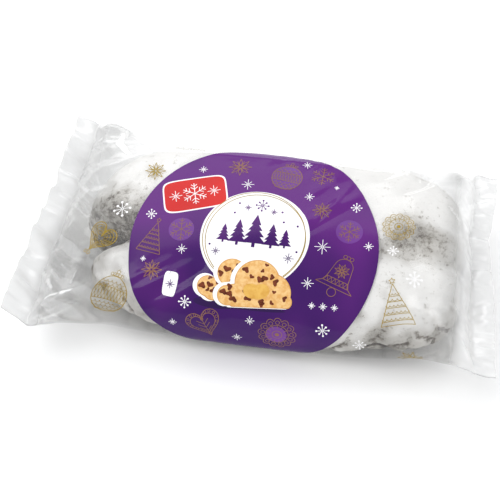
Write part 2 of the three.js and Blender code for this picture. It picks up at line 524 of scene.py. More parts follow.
# Clear polypropylene film: see-through with a soft gloss, with a haze where it is loose that is greyed by
# painted shade, and white in its folds, partly stress-whitening and partly painted highlight
def clear_film():
    material, tree = new_material("clear_polypropylene_film")
    haze_and_painted_light = add(tree, "ShaderNodeAttribute", attribute_name="haze_and_painted_light").outputs["Fac"]
    clear = add(tree, "ShaderNodeBsdfTransparent", {"Color": rgb("#fdfdfd")})
    haze_shade_tint = add(tree, "ShaderNodeValToRGB", {"Fac": haze_and_painted_light})
    # Haze tint: grey where the loose film is painted into shade, white in the seals and in folds that carry
    # painted highlights
    set_ramp(haze_shade_tint, (0.4, "#b6b6b5"), (0.56, "#eeeeee"), (0.8, "#ffffff"))
    haze = add(tree, "ShaderNodeBsdfDiffuse", {"Color": haze_shade_tint.outputs[0]})
    body = add(tree, "ShaderNodeMixShader", {"Fac": haze_and_painted_light, 1: clear.outputs[0], 2: haze.outputs[0]})
    gloss = add(tree, "ShaderNodeBsdfGlossy", {"Color": rgb("#ffffff"), "Roughness": 0.18})
    facing = add(tree, "ShaderNodeFresnel", {"IOR": 1.49})
    sheen = add(tree, "ShaderNodeMath", {0: facing.outputs[0], 1: 0.4}, operation="MINIMUM")
    film = add(tree, "ShaderNodeMixShader", {
        "Fac": sheen.outputs[0], 1: body.outputs[0], 2: gloss.outputs[0],
    })
    add(tree, "ShaderNodeOutputMaterial", {"Surface": film.outputs[0]})
    return material


# Powdered sugar sifted over buttered crust: dusty white, thin and flecked where the brown crust shows.
# Its flecks are far coarser than the sugar's grains, which are too fine to show.
# The sugar is greyed by painted shade on the back lobe's flank over the fold, and is drawn whiter towards
# the top
def powdered_sugar():
    material, tree = new_material("powdered_sugar_on_crust")
    place = add(tree, "ShaderNodeTexCoord").outputs["Object"]
    bare = add(tree, "ShaderNodeAttribute", attribute_name="bare").outputs["Fac"]
    sugar_and_shade = add(tree, "ShaderNodeAttribute", attribute_name="sugar_and_shade").outputs["Fac"]
    fleck = add(tree, "ShaderNodeTexNoise", {
        "Vector": place, "Scale": repeat(3.4), "Detail": 6.0, "Roughness": 0.75,
    })
    worn = add(tree, "ShaderNodeMath", {0: bare, 1: 0.4, 2: fleck.outputs["Fac"]}, operation="MULTIPLY_ADD")
    crust = add(tree, "ShaderNodeValToRGB", {"Fac": worn.outputs[0]})
    set_ramp(crust, (0.6, "#f6f5f3"), (0.68, "#cfccc7"), (0.77, "#8a8179"), (0.88, "#362b25"))
    # Grey where the sugar is thin or lower down, and where painted shade lies on the back lobe's flank
    dust_and_shade = add(tree, "ShaderNodeValToRGB", {"Fac": sugar_and_shade})
    set_ramp(dust_and_shade, (0.0, "#b4b1ac"), (0.4, "#d9d7d4"), (0.85, "#ffffff"))
    colour = add(tree, "ShaderNodeMix", {0: 1.0, 6: crust.outputs[0], 7: dust_and_shade.outputs[0]},
                 data_type="RGBA", blend_type="MULTIPLY")
    grain = add(tree, "ShaderNodeBump", {
        "Height": fleck.outputs["Fac"], "Strength": 0.7, "Distance": 0.001,
    })
    surface = add(tree, "ShaderNodeBsdfPrincipled", {
        "Base Color": colour.outputs[2], "Roughness": 0.92, "Normal": grain.outputs[0],
    })
    add(tree, "ShaderNodeOutputMaterial", {"Surface": surface.outputs[0]})
    return material


# Gravure ink under a glossy film face: even colour, a little cloudy where the ink lies thinner.
# The size is that of its clouds, and the sheen lean paints a sheen: lighter towards one side and deeper
# towards the other.
def ink(name, colour, thin, size=40, sheen_lean=(0, 0, 0), stops=(0.36, 0.62)):
    material, tree = new_material(name)
    place = add(tree, "ShaderNodeTexCoord").outputs["Object"]
    cloud = add(tree, "ShaderNodeTexNoise", {"Vector": place, "Scale": repeat(size), "Detail": 2.0})
    # Painted sheen: the lean tilts the tone lighter towards one side, as a gloss reflection would
    side = add(tree, "ShaderNodeVectorMath", {0: place, 1: sheen_lean}, operation="DOT_PRODUCT")
    depth = add(tree, "ShaderNodeMath", {
        0: cloud.outputs["Fac"], 1: side.outputs["Value"],
    }, operation="ADD")
    tone = add(tree, "ShaderNodeValToRGB", {"Fac": depth.outputs[0]})
    set_ramp(tone, (stops[0], thin), (stops[1], colour))
    surface = add(tree, "ShaderNodeBsdfPrincipled", {
        "Base Color": tone.outputs[0], "Roughness": 0.5, "Specular IOR Level": 0.05,
        "Coat Weight": 0.38, "Coat Roughness": 0.12,
    })
    add(tree, "ShaderNodeOutputMaterial", {"Surface": surface.outputs[0]})
    return material


# The loaf: a low front lobe folded against a high back one, lumpy under the sugar

LOAF_LEFT = -121.0
LOAF_RIGHT = 129.0
LOAF_CENTRE = (LOAF_LEFT + LOAF_RIGHT) / 2
LOAF_HALF_LENGTH = (LOAF_RIGHT - LOAF_LEFT) / 2
LOAF_HALF_WIDTH = 69.0
LOAF_TOP = 75.5
LOAF_MIDDLE = 26.0
LOAF_REST = 0.5
LOAF_AXIS_HEIGHT = LOAF_MIDDLE + 3
LOAF_CREST_SHIFT = 33.0
LOAF_CREST_FADE = 4
LOAF_SQUARENESS = (3.0, 4.4)  # of its left and right end
LOAF_ROUNDNESS = (2.6, 1.95)  # of its section, below and above the middle
LOAF_GAP = 1.2
LOAF_FINENESS = 7
CORE_FINENESS = 5

# Where the left and right ends begin, counted from the centre, and the length over which they come in
LEFT_END = (45.0, 60.0)
RIGHT_END = (60.0, 55.0)

# The fold between the lobes: its line, the groove along it, and the notch that it cuts in the left end
FOLD_AT = -20.0
FOLD_LEAN = 0.18
FOLD_LEAN_FROM = 40.0
FOLD_WANDER = 5.0
FOLD_WANDER_LENGTH = 35.0
GROOVE_WIDTH = 7.0
GROOVE_DEPTH = 3.0
GROOVE_DEEPER_LEFT = 3.0
GROOVE_DEEPER_RIGHT = 1.0
GROOVE_SPAN = (8.0, 20.0)
FRONT_LOBE_STEP = 3.0
FRONT_LOBE_BLEND = 14.0
NOTCH_DEPTH = 20.0
NOTCH_WIDTH = 10.0

# Lumps in the dough, as length, place in the noise, octaves and height, and the cracks low down
LUMPS = [(42.0, (0, 0, 0), 3, 2.2), (13.0, (7, 3, 1), 3, 1.2), (3.6, (2, 9, 4), 2, 0.45)]
LOW_EDGE_TOP = 42.0
LOW_EDGE_OVER = 20.0
CRACK_LENGTH = 19.0
CRACK_PLACE = Vector((4, 4, 8))
CRACK_FINENESS = 5
CRACK_WANDER = 0.25
CRACK_DEPTH = 1.8

# Where the crust shows and the sugar lies thin: in dips, in the fold and in cracks, but little on top; the
# back lobe's flank over the fold carries painted shade, greyer sugar with a few crust flecks, and the sugar
# is drawn whiter towards the top
BARE_DIPS = 0.35
BARE_FOLD = 0.5
BARE_FOLD_WIDTH = 5.0
BARE_CRACKS = 0.9
FLANK_SHADE_FLECKS = 0.18
TOP_SPAN = (58.0, 12.0)
TOP_COVER = 0.6
FLANK_AT = 12.0
FLANK_WIDTH = 13.0
FLANK_SPAN = (62.0, 22.0)
FLANK_SHADE = 0.6
LEFT_FLANK_SHADE = 0.3
LEFT_FLANK_OVER = 6.0
SIFTED = 0.7
WHITER_UP_FROM = 46.0
WHITER_UP_OVER = 56.0
SIFTED_BIG = 0.5
SIFTED_MIDDLING = 0.4


def smooth_loaf(n):
    """The place of the loaf's plain form in a direction from its middle, and the way out of it there."""
    square_end = LOAF_SQUARENESS[n.x > 0]
    round_side = LOAF_ROUNDNESS[n.z > 0]
    section = (abs(n.y) ** round_side + abs(n.z) ** round_side) ** (1 / round_side)
    size = (abs(n.x) ** square_end + section ** square_end) ** (-1 / square_end)
    along = min(abs(size * n.x), 1)
    share = size * n.y
    height = LOAF_TOP - LOAF_MIDDLE if n.z > 0 else LOAF_MIDDLE - LOAF_REST
    ridge = LOAF_CREST_SHIFT * max(size * n.z, 0) * (1 - share ** 2) * (1 - along ** LOAF_CREST_FADE)
    place = Vector((
        LOAF_CENTRE + LOAF_HALF_LENGTH * size * n.x,
        LOAF_HALF_WIDTH * share + ridge,
        LOAF_MIDDLE + height * size * n.z,
    ))
    return place, Vector((n.x / LOAF_HALF_LENGTH, n.y / LOAF_HALF_WIDTH, n.z / height)).normalized()


def folded(place, outward):
    """A place with the fold pressed in, its distance behind the fold, and its share of the left end."""
    left_end = past(LOAF_CENTRE - place.x, *LEFT_END)
    right_end = past(place.x - LOAF_CENTRE, *RIGHT_END)
    wander = FOLD_WANDER * noise.noise(place / FOLD_WANDER_LENGTH)
    fold = place.y - FOLD_AT + FOLD_LEAN * (place.z - FOLD_LEAN_FROM) + wander
    groove = math.exp(-(fold / GROOVE_WIDTH) ** 2) * past(place.z, *GROOVE_SPAN)
    depth = GROOVE_DEPTH + GROOVE_DEEPER_LEFT * left_end + GROOVE_DEEPER_RIGHT * right_end
    place.x += FRONT_LOBE_STEP * left_end * smooth(0.5 - fold / FRONT_LOBE_BLEND)
    place.x += NOTCH_DEPTH * left_end * math.exp(-(fold / NOTCH_WIDTH) ** 2)
    return place - outward * depth * groove, fold, left_end


def sugared(place, outward, fold, left_end):
    """A place with lumps and cracks, how bare its crust is, and how white its sugar is drawn: whiter
    towards the top, greyed by painted shade on the back lobe's flank.
    """
    lumps = [
        noise.fractal(place / length + Vector(at), 1.0, 2.0, octaves) for length, at, octaves, _ in LUMPS
    ]
    big, middling, _ = lumps
    low_edge = past(LOW_EDGE_TOP, place.z, LOW_EDGE_OVER)
    course = noise.noise(place / CRACK_LENGTH + CRACK_PLACE) + CRACK_WANDER * middling
    crack = max(0.0, 1 - CRACK_FINENESS * abs(course))
    rise = sum(height * lump for (*_, height), lump in zip(LUMPS, lumps))
    place = place + outward * (rise - CRACK_DEPTH * low_edge * crack)

    bare = BARE_DIPS * max(0.0, -middling) + BARE_DIPS * max(0.0, -big)
    bare *= 1 - TOP_COVER * past(place.z, *TOP_SPAN)
    # Painted shade: a grey band on the back lobe's flank over the fold at both ends, and on the left end's
    # upper lobe, with a few crust flecks
    flank = math.exp(-((fold - FLANK_AT) / FLANK_WIDTH) ** 2)
    flank *= past(abs(place.x - LOAF_CENTRE), *FLANK_SPAN)
    flank += LEFT_FLANK_SHADE * left_end * past(fold, 0, LEFT_FLANK_OVER)
    in_fold = BARE_FOLD * left_end * math.exp(-(fold / BARE_FOLD_WIDTH) ** 2)
    bare += in_fold + BARE_CRACKS * low_edge * crack + FLANK_SHADE_FLECKS * flank
    # Whiter towards the top and greyer towards the bottom, with random clouds, less where painted shade
    # lies on the flank
    sugar_and_shade = SIFTED + (place.z - WHITER_UP_FROM) / WHITER_UP_OVER + SIFTED_BIG * big + SIFTED_MIDDLING * middling
    return place, min(1.0, bare), sugar_and_shade - FLANK_SHADE * flank


def loaf_object(name, fineness, lumpy, film_faces):
    """The loaf as a piece, or only its plain form."""
    bm = bmesh.new()
    bmesh.ops.create_icosphere(bm, subdivisions=fineness, radius=1.0)
    bare_layer = bm.verts.layers.float.new("bare")
    sugar_and_shade_layer = bm.verts.layers.float.new("sugar_and_shade")
    for v in bm.verts:
        place, outward = smooth_loaf(v.co.normalized())
        place, fold, left_end = folded(place, outward)
        if lumpy:
            place, v[bare_layer], v[sugar_and_shade_layer] = sugared(place, outward, fold, left_end)
        v.co = place
    keep_inside(bm, film_faces)
    bmesh.ops.scale(bm, vec=(MM, MM, MM), verts=bm.verts)
    return to_object(name, bm)


def keep_inside(bm, film_faces):
    """Keeps the loaf at least the gap away from the film, measured out from the loaf's long axis."""
    for v in bm.verts:
        axis = Vector((v.co.x, 0, LOAF_AXIS_HEIGHT))
        out = v.co - axis
        distance = out.length
        hit = film_faces.ray_cast(axis, out)[3]
        if hit is not None and distance > hit - LOAF_GAP:
            v.co = axis + out * max(hit - LOAF_GAP, 0) / distance


def faces_of(points):
    """A search tree of a tube's faces."""
    rows, columns = points.shape[:2]
    index = np.arange(rows * columns).reshape(rows, columns)
    after = np.roll(index, -1, axis=1)
    quads = np.stack([index[:-1], index[1:], after[1:], after[:-1]], axis=-1).reshape(-1, 4)
    return BVHTree.FromPolygons(points.reshape(-1, 3).tolist(), quads.tolist())


# Print: pens that draw flat, in millimetres along the film and round it

PEN = 0.42
PEN_STEP = 1.2
SHORTEST_STROKE = 1e-4
WEDGE_TAPER = 0.97
FIELD_STEP = 1.2
FIELD_WELD = 1e-5
OUTLINE_SAMPLES = 48
PRINT_LIFT = 0.16
LAYER = 0.04


def bar(bm, start, end, width=PEN):
    """A straight stroke."""
    start, end = Vector((*start, 0)), Vector((*end, 0))
    span = end - start
    turn = Matrix.Rotation(math.atan2(span.y, span.x), 4, "Z")
    size = Matrix.Diagonal((span.length, width, 1, 1))
    place = Matrix.Translation((start + end) / 2) @ turn @ size
    steps = max(1, round(span.length / PEN_STEP))
    bmesh.ops.create_grid(bm, x_segments=steps, y_segments=1, size=0.5, matrix=place)


def loop(bm, points, width=PEN):
    """A closed line of straight strokes."""
    for a, b in zip(points, points[1:] + points[:1]):
        if (b - a).length > SHORTEST_STROKE:
            bar(bm, a, b, width)


def arc(bm, centre, radius, start=0.0, sweep=math.tau, width=PEN):
    """A curved stroke, a whole ring unless the sweep says less."""
    middle = Vector((*centre, 0))
    heading = Vector((math.cos(start), math.sin(start), 0))
    ends = [bm.verts.new(middle + heading * (radius + side * width / 2)) for side in (-1, 1)]
    edge = bm.edges.new(ends)
    steps = max(6, math.ceil(abs(sweep) * radius / PEN_STEP))
    whole = abs(sweep) > math.tau - 1e-6
    bmesh.ops.spin(bm, geom=[*ends, edge], cent=middle, axis=(0, 0, 1), angle=sweep, steps=steps,
                   use_merge=whole)


def wedge(bm, foot, half, height):
    """A filled triangle that stands on a level line."""
    made = bmesh.ops.create_grid(bm, x_segments=4, y_segments=5, size=0.5)["verts"]
    for v in made:
        share = v.co.y + 0.5
        v.co = (2 * half * v.co.x * (1 - WEDGE_TAPER * share), foot + height * share, 0)


def dot(bm, centre, radius):
    bmesh.ops.create_circle(bm, cap_ends=True, radius=radius, segments=10,
                            matrix=Matrix.Translation((*centre, 0)))


def field(outline, step=FIELD_STEP):
    """A filled shape round the origin; outline gives its radius at an angle."""
    bm = bmesh.new()
    reach = max(outline(math.tau * k / OUTLINE_SAMPLES) for k in range(OUTLINE_SAMPLES))
    rings = max(2, math.ceil(reach / step))
    line = [bm.verts.new((k / rings, 0, 0)) for k in range(rings + 1)]
    edges = [bm.edges.new(pair) for pair in zip(line, line[1:])]
    steps = max(24, math.ceil(math.tau * reach / step))
    bmesh.ops.spin(bm, geom=[*line, *edges], axis=(0, 0, 1), angle=math.tau, steps=steps, use_merge=True)
    for v in bm.verts:
        v.co *= outline(math.atan2(v.co.y, v.co.x))
    bmesh.ops.remove_doubles(bm, verts=bm.verts, dist=FIELD_WELD)
    return bm


def around(count, start=math.pi / 2):
    """Evenly spaced headings, the first one upwards."""
    for k in range(count):
        angle = start + math.tau * k / count
        yield angle, Vector((math.cos(angle), math.sin(angle)))


# Ornaments, each drawn round the origin in shares of its size

def needle_star(bm, size):
    """A frost star of eight bare needles, every other one shorter."""
    for k, (_, heading) in enumerate(around(8)):
        reach = size if k % 2 == 0 else 0.8 * size
        bar(bm, heading * 0.08 * size, heading * reach, 0.95 * PEN)


def frost_star(bm, size):
    """A frost star of eight needles with a bead on each tip."""
    needle_star(bm, 0.85 * size)
    for k, (_, heading) in enumerate(around(8)):
        dot(bm, heading * (0.88 if k % 2 == 0 else 0.72) * size, 0.15 * size)


def snow_crystal(bm, size):
    """A six-armed snow crystal with two pairs of twigs on each arm."""
    for angle, heading in around(6):
        bar(bm, (0, 0), heading * size, 1.15 * PEN)
        for place, twig in ((0.42, 0.36), (0.7, 0.3)):
            for side in (-0.9, 0.9):
                tip = Vector((math.cos(angle + side), math.sin(angle + side))) * twig * size
                bar(bm, heading * place * size, heading * place * size + tip)


def petal_star(bm, size):
    """Eight lens-shaped petals with a ray between each pair."""
    for _, heading in around(8):
        aside = Vector((-heading.y, heading.x)) * 0.14 * size
        for side in (-1, 1):
            bar(bm, heading * 0.1 * size, heading * 0.5 * size + aside * side)
            bar(bm, heading * 0.5 * size + aside * side, heading * size)
    for _, heading in around(8, math.pi / 2 + math.pi / 8):
        bar(bm, heading * 0.2 * size, heading * 0.8 * size, 0.7 * PEN)


def outline_star(bm, centre, size):
    """A five-pointed star in outline."""
    tips = [heading * size for _, heading in around(5)]
    dents = [heading * 0.48 * size for _, heading in around(5, math.pi / 2 + math.pi / 5)]
    loop(bm, [Vector(centre) + corner for pair in zip(tips, dents) for corner in pair], 0.9 * PEN)


def zigzag(bm, left, right, height, teeth):
    """A zigzag that stands on the line between two points."""
    left, right = Vector(left), Vector(right)
    up = Vector((left.y - right.y, right.x - left.x)).normalized() * height
    points = [left.lerp(right, k / (2 * teeth)) + up * (k % 2) for k in range(2 * teeth + 1)]
    for a, b in zip(points, points[1:]):
        bar(bm, a, b, 0.8 * PEN)


def scallops(bm, half, level, count):
    """A row of small hanging arcs, from -half to half at one level."""
    radius = half / count
    for k in range(count):
        arc(bm, (-half + (2 * k + 1) * radius, level), radius, math.pi, math.pi, 0.8 * PEN)


def glass_ball(bm, size):
    """A bauble with a latticed waist, garlands above and below it and a beaded cap."""
    arc(bm, (0, 0), size, width=1.2 * PEN)
    for level, rows in ((0.36, (0.56, 0.74)), (-0.32, (-0.44, -0.62, -0.8))):
        half = math.sqrt(1 - level ** 2) * size
        bar(bm, (-half, level * size), (half, level * size))
        for row in rows:
            half = math.sqrt(1 - row ** 2) * size
            scallops(bm, half, row * size, max(3, round(half / 1.5)))
    for start in (-0.32, 0.36):
        height = 0.68 * size if start < 0 else -0.68 * size
        zigzag(bm, (-0.94 * size, start * size), (0.94 * size, start * size), height, 5)
    for side in (-0.34, -0.17, 0, 0.17, 0.34):
        arc(bm, (side * size, 1.1 * size), 0.09 * size, width=0.9 * PEN)
    arc(bm, (0, 1.28 * size), 0.11 * size, width=0.9 * PEN)


def fir_tree(bm, size):
    """A fir of garlanded tiers with a star on top; size is half its height."""
    foot, tip, half = -size, 0.74 * size, 0.68 * size
    bar(bm, (-half, foot), (0, tip))
    bar(bm, (half, foot), (0, tip))
    bar(bm, (-half, foot), (half, foot))
    for share in (0.1, 0.26, 0.42, 0.57, 0.7):
        level = foot + share * (tip - foot)
        reach = half * (1 - share)
        bar(bm, (-reach, level), (reach, level))
        scallops(bm, 0.97 * reach, level + 0.12 * size, max(3, round(8 * (1 - share))))
    outline_star(bm, (0, 0.86 * size), 0.13 * size)


def heart_points(size, sides=48):
    """The outline of a heart, from the dip between its lobes round to it again."""
    points = []
    for k in range(sides):
        t = math.tau * k / sides
        x = 16 * math.sin(t) ** 3
        y = 13 * math.cos(t) - 5 * math.cos(2 * t) - 2 * math.cos(3 * t) - math.cos(4 * t)
        points.append(Vector((x, y + 2)) * size / 17)
    return points


def lace_heart(bm, size):
    """A gingerbread heart with a looped rim and a leaf spray inside."""
    for scale in (1.0, 0.76):
        loop(bm, heart_points(size * scale), 1.1 * PEN)
    for point in heart_points(size * 0.88)[::2]:
        arc(bm, point, 0.07 * size, width=0.8 * PEN)
    bar(bm, (0, -0.6 * size), (0, 0.3 * size))
    for side in (-1, 1):
        for level in (-0.45, -0.2, 0.05):
            bar(bm, (0, level * size), (side * 0.34 * size, (level + 0.3) * size), 0.9 * PEN)


def mesh_heart(bm, size):
    """A heart of wire mesh with two loops at its tip."""
    for scale in (1.0, 0.82, 0.64, 0.46, 0.28):
        loop(bm, heart_points(size * scale), (0.6 + 0.8 * scale ** 4) * PEN)
    for point in heart_points(size)[1::3]:
        bar(bm, point * 0.28, point, 0.6 * PEN)
    for side in (-1, 1):
        arc(bm, (side * 0.13 * size, -1.02 * size), 0.11 * size)


def doily(bm, size):
    """Rings of petals and scallops round a middle bead."""
    dot(bm, (0, 0), 0.12 * size)
    for radius in (0.26, 0.6):
        arc(bm, (0, 0), radius * size)
    for angle, heading in around(13):
        bar(bm, heading * 0.4 * size, heading * 0.58 * size, 0.8 * PEN)
        arc(bm, heading * 0.76 * size, 0.11 * size, width=0.9 * PEN)
        arc(bm, heading * 0.82 * size, 0.19 * size, angle - 1.6, 3.2)


def hand_bell(bm, size):
    """A bell with a banded skirt, a petal star on it and its clapper below; size is half its height."""
    shoulder, waist, hem, lip = 0.42 * size, -0.2 * size, -0.44 * size, -0.62 * size
    arc(bm, (0, shoulder), 0.42 * size, 0.0, math.pi)
    for side in (-1, 1):
        corners = [(0.42, shoulder), (0.52, waist), (0.62, hem), (0.88, lip)]
        for (a, low), (b, high) in zip(corners, corners[1:]):
            bar(bm, (side * a * size, low), (side * b * size, high))
    for half, level in ((0.52, waist), (0.62, hem), (0.88, lip)):
        bar(bm, (-half * size, level), (half * size, level))
    zigzag(bm, (-0.58 * size, hem), (0.58 * size, hem), waist - hem, 6)
    arc(bm, (0, lip - 0.21 * size), 0.2 * size)
    for side in (-0.16, 0, 0.16):
        arc(bm, (side * size, 0.93 * size), 0.09 * size)
    stamp(bm, drawn(petal_star, 0.36 * size), (0, 0.24 * size))


def solid_fir(bm, size):
    """A small fir of four solid tiers on a short trunk; size is its height."""
    bar(bm, (0, 0), (0, 0.14 * size), 0.09 * size)
    tiers = ((0.12, 0.34, 0.36), (0.32, 0.27, 0.32), (0.51, 0.2, 0.28), (0.68, 0.14, 0.32))
    for foot, half, height in tiers:
        wedge(bm, foot * size, half * size, height * size)


def drawn(drawing, size):
    """An ornament in a mesh of its own."""
    bm = bmesh.new()
    drawing(bm, size)
    return bm


def stamp(target, motif, place, turn=0.0, layer=0):
    """Adds a drawn motif to a print at a place, turned by degrees, so many layers of ink up."""
    turned = Matrix.Rotation(math.radians(turn), 3, "Z")
    bmesh.ops.rotate(motif, verts=motif.verts, cent=(0, 0, 0), matrix=turned)
    bmesh.ops.translate(motif, verts=motif.verts, vec=(*place, layer * LAYER))
    mesh = bpy.data.meshes.new("motif")
    motif.to_mesh(mesh)
    motif.free()
    target.from_mesh(mesh)
    bpy.data.meshes.remove(mesh)


def dress(piece, material):
    """Gives a piece its finish and makes it stand for the bag."""
    piece.data.materials.append(material)
    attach(piece, "root")
    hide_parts("stollen_bag")


def print_on_film(name, bm, film_surface, material):
    """Wraps a flat drawing on the film and makes it a piece."""
    for face in bm.faces:
        face.normal_update()
        if face.normal.z < 0:
            face.normal_flip()
    flat = np.array([v.co for v in bm.verts])
    places = film_surface.at(flat[:, 0], flat[:, 1], flat[:, 2] + PRINT_LIFT)
    for v, place in zip(bm.verts, places):
        v.co = place * MM
    dress(to_object(name, bm), material)


# Layers of ink: on the bare film, on the disc, on what lies on the disc, and on the white panel
ON_FILM, ON_DISC, ON_LILAC, ON_PANEL = range(4)

# What is printed where: the length along the film and round it, and the size, in millimetres
DISC = (-5.0, 56.6)
DISC_RADIUS = 79.2
DISC_SWELLINGS = [(0.93, 2.6), (-1.0, 3.2)]  # at an angle in radians, by so much
SWELLING_SPREAD = 0.28
# The purple's lean is a painted sheen: lighter towards the disc's top and left, deeper towards its front
# and right
PURPLE_PAINTED_SHEEN = (-0.6, 4.7, 0)
PURPLE_STOPS = (0.22, 0.5)
PANEL = (-3.9, 63.4)
PANEL_RADIUS = 34.2
PANEL_RINGS = [(ON_PANEL, (-0.5, 0.4), 32.4), (ON_PANEL + 1, (0.6, -0.5), 31.6)]
LABEL = (-47.5, 91.5)
LABEL_SIZE = (20.0, 11.8)
LABEL_TURN = 16.0
LABEL_RIM = 1
LABEL_CRYSTAL = 0.7 * LABEL_SIZE[1]
LABEL_STAR = 0.36 * LABEL_SIZE[1]
LABEL_STAR_AT = (12, 3.4)
NOTE = (-51.8, 27.0)
NOTE_SIZE = (4.3, 7.7)
NOTE_TURN = -4

# The cake slices: round lobes on a sloping base, each slice with its lowest layer of ink
SLICES = [
    (2, [(-28.2, 28.6, 6.6), (-24.5, 26.4, 6.4)]),
    (6, [(-14.3, 38.6, 8.9), (-9, 34, 9)]),
    (10, [
        (2.2, 34.4, 14.0), (-15.2, 24.4, 6.4), (11.4, 28.4, 12.4),
        (20.4, 23.8, 4.6), (0, 28, 11.6), (-8, 24, 7.6),
    ]),
]
SLICE_BASE = 18.4
SLICE_SLOPE = 0.07
SLICE_STEP = 0.8
SLICE_SHADOWS = [(-22, 18.8, 14, 3.4), (0, 18, 22, 1.4)]
SUGAR_SHIFT = (-1.8, 0.3)
SUGAR_RIM = 0.9
SUGAR_DROP = 0.4
CRUST = 0.5
MARZIPAN = (2.4, 28.6)
MARZIPAN_TURN = 4
MARZIPAN_LAYER = 14
RAISIN_SEED = 5
RAISIN_LOBES = 3
RAISIN_SHARE = 0.62  # raisins for each millimetre of a lobe's radius
RAISIN_REACH = 0.9
RAISIN_FIRST = 0.3
RAISIN_RISE = 2.6
RAISIN_SIZES = (0.9, 2.1)
RAISIN_STRETCHES = (0.1, 0.3)
RAISIN_STEP = 0.6
GOLDEN_TURN = 2.4

# Ornaments, as along, round, size and turn
WHITE_STARS = [
    (needle_star, -45.7, 111.8, 2.9, 8), (needle_star, -14.4, 102, 4.1, 5),
    (needle_star, 20.9, 124.3, 3.2, 10), (needle_star, 26.4, 97.1, 3.1, 12),
    (needle_star, 42.6, 106.8, 1.6, 0), (frost_star, 56.9, 93, 3.6, 5),
    (needle_star, 39.2, 61.9, 5.0, 3), (needle_star, 67.4, 65.6, 3.1, 8),
    (needle_star, 33, 37.1, 3.8, 4), (frost_star, -73.2, 73.3, 3.6, 10),
    (needle_star, -48.4, 50.5, 3.4, 9), (needle_star, -72.3, 41.1, 2.0, 0),
    (frost_star, -41.3, 17.1, 4.0, 3), (needle_star, -48.4, 2.2, 2.7, 6),
    (needle_star, 0.1, 10.3, 2.9, 6), (needle_star, -7.9, -4.8, 3.2, 4),
    (frost_star, 45.1, 8.2, 4.3, 8), (frost_star, 68.1, -0.8, 4.1, 8),
    (frost_star, -93.8, 74.6, 5.8, 12), (frost_star, 97.2, 46.4, 5.0, 6),
    (frost_star, 82.4, 64, 3.4, 0), (needle_star, 37, 23.5, 2.2, 0),
    (needle_star, 44, 23.5, 2.5, 8), (needle_star, 51, 23.5, 2.2, 0),
    (needle_star, -30, 150, 3.6, 0), (frost_star, 62, 158, 3.8, 10),
    (frost_star, -70, 168, 3.6, 0),
]
GOLD_ON_PURPLE = [
    (petal_star, -22, 116.3, 7.6, 6), (glass_ball, 9.6, 111, 9.8, -8),
    (snow_crystal, 32.5, 115.3, 8, 0), (petal_star, 35.6, 87.5, 6.2, 4),
    (snow_crystal, 54.5, 74.6, 7.2, 0), (hand_bell, 51.9, 43.9, 13.8, -20),
    (fir_tree, -68.6, 58.6, 12.5, -8), (snow_crystal, -51.2, 64.2, 8, 6),
    (petal_star, -65, 34.4, 6.8, 6), (lace_heart, -28, 3.4, 11.6, 24),
    (doily, 17.3, 1.9, 11.8, 0),
]
GOLD_ON_FILM = [
    (petal_star, -77.8, 107.2, 7.4, 8), (mesh_heart, -104.2, 54.2, 10.8, -38),
    (glass_ball, -90.2, 15.6, 11.6, -14), (doily, 84, 82, 9.8, 0),
    (fir_tree, 86.8, 30.5, 15.6, 13), (petal_star, 101, -14, 9.5, 0),
    (glass_ball, -62, 150, 10, 20), (petal_star, 14, 165, 8.5, 0),
    (fir_tree, 92, 172, 13, 170),
]
PANEL_STARS = [
    (frost_star, -2.2, 86.6, 4.4, 0), (needle_star, -11.1, 84.1, 2.2, 10),
    (needle_star, 5.8, 82.6, 2.2, 0), (needle_star, -26.7, 51.5, 2.8, 5),
    (needle_star, 19.2, 51.6, 3.4, 0), (needle_star, *NOTE, 2.8, 0),
]
PANEL_FIRS = [
    (solid_fir, -23.5, 58, 13, 0), (solid_fir, -14.5, 57, 18, 0), (solid_fir, -4, 56.5, 23, 0),
    (solid_fir, 7, 57, 17, 0), (solid_fir, 15.5, 58, 13, 0),
]
PANEL_DOTS = [(-17, 86.8), (11.1, 83.1), (22.1, 73.9), (-31.3, 55.8), (23.7, 56.4), (-19, 79.5), (13, 76)]
PANEL_DOT_RADIUS = 0.7
LILAC_DISCS = [(9.6, 111, 9.6), (-51.2, 64.2, 8.2), (54.5, 74.6, 8.4), (16.6, 1.4, 6.6)]


def lobed(lobes, base):
    """A slice's outline about its first lobe: round lobes that stand on a flat base."""
    centre = Vector(lobes[0][:2])
    below = base + SLICE_SLOPE * centre.x - centre.y

    def radius(angle):
        heading = Vector((math.cos(angle), math.sin(angle)))
        reach = 0.0
        for x, y, r in lobes:
            to_lobe = Vector((x, y)) - centre
            ahead = to_lobe.dot(heading)
            half_chord = r * r - (to_lobe.length_squared - ahead * ahead)
            if half_chord >= 0:
                reach = max(reach, ahead + math.sqrt(half_chord))
        down = heading.y - SLICE_SLOPE * heading.x
        if down < 0:
            reach = min(reach, below / down)
        return reach

    return radius


def disc_of(radius):
    return lambda angle: radius


def oval(wide, high):
    return lambda angle: wide * high / math.hypot(high * math.cos(angle), wide * math.sin(angle))


def tile(wide, high, squareness=6):
    """A rounded rectangle, wide and high counted from its middle."""
    def radius(angle):
        corner = abs(math.cos(angle) / wide) ** squareness + abs(math.sin(angle) / high) ** squareness
        return corner ** (-1 / squareness)
    return radius


def raisin(size, stretch, knobs=0.22):
    return lambda angle: size * (1 + stretch * math.cos(2 * angle) + knobs * math.sin(3 * angle))


def marzipan_outline(angle, radius=6.2, longer=1.9, knobs=0.3):
    return radius + longer * math.cos(2 * angle) + knobs * math.sin(3 * angle)


def panel_outline(angle, longer=0.012, knobs=0.008):
    return PANEL_RADIUS * (1 + longer * math.sin(2 * angle + 1) + knobs * math.sin(3 * angle))


def disc_outline(angle):
    """The purple disc's radius, swollen a little on the right where the film turns away."""
    return DISC_RADIUS + sum(swell * hill(angle - at, SWELLING_SPREAD) for at, swell in DISC_SWELLINGS)


